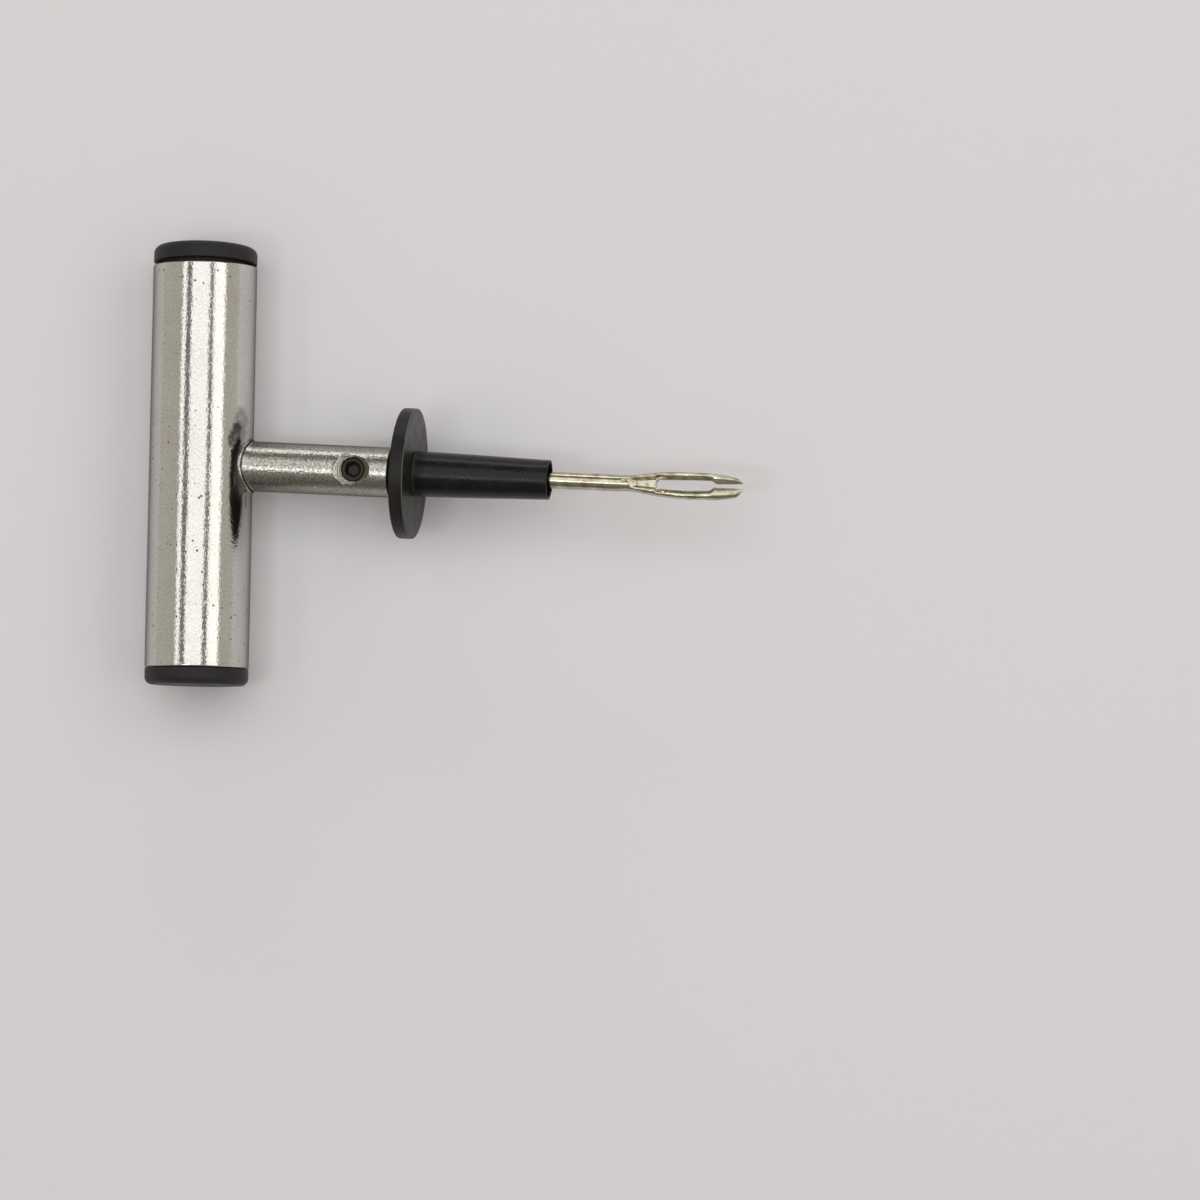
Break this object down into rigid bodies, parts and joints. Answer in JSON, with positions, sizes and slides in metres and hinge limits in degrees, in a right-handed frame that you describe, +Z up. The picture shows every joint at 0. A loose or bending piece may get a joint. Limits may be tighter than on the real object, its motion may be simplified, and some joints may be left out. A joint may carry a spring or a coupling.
{
  "type": "tyre plug insertion tool",
  "caption": "T-handled hand tool with a clamped split-eye needle, a sliding stop disc and a thin guard sleeve, for pushing plug strings into a tyre puncture.",
  "frame": {"origin": "on the bench under the middle of the tool's bounding box, with the tool lying on its handle and on the stop disc's edge", "axes": "+X from the handle towards the needle's tip, +Y along the handle towards the upper end cap, +Z up from the bench, with the clamping screw on top"},
  "size_m": [0.1434, 0.1056, 0.0313],
  "materials": {
    "plated_steel": "bright plated tube with a fine orange-peel grain",
    "cap_plastic": "moulded matte black",
    "weld_metal": "plated over a rough weld, stained at its edge",
    "black_oxide_steel": "black oxide",
    "nickel_needle": "bright nickel over forged facets",
    "disc_rubber": "satin black",
    "sleeve_vinyl": "semi-gloss black"
  },
  "bodies": {
    "frame": {"handle_tube": "plated_steel", "end_cap_upper": "cap_plastic", "end_cap_lower": "cap_plastic", "shank": "plated_steel", "weld_bead": "weld_metal"},
    "grub_screw": {"grub_screw": "black_oxide_steel"},
    "needle": {"needle": "nickel_needle"},
    "stop": {"stop_disc": "disc_rubber", "guard_sleeve": "sleeve_vinyl"}
  },
  "joints": [
    {"name": "grub_screw_turn", "type": "hinge", "parent": "frame", "child": "grub_screw", "pos_m": [-0.02135, -0.00125, 0.01887], "axis": [-0.0622, 0, 0.9981], "range_deg": [0, 1080]},
    {"name": "needle_slide", "type": "slide", "parent": "frame", "child": "needle", "axis": [0.9973, -0.0393, 0.0622], "range_m": [0, 0.02]},
    {"name": "stop_slide", "type": "slide", "parent": "needle", "child": "stop", "axis": [0.9973, -0.0393, 0.0622], "range_m": [-0.002, 0.0515]}
  ]
}
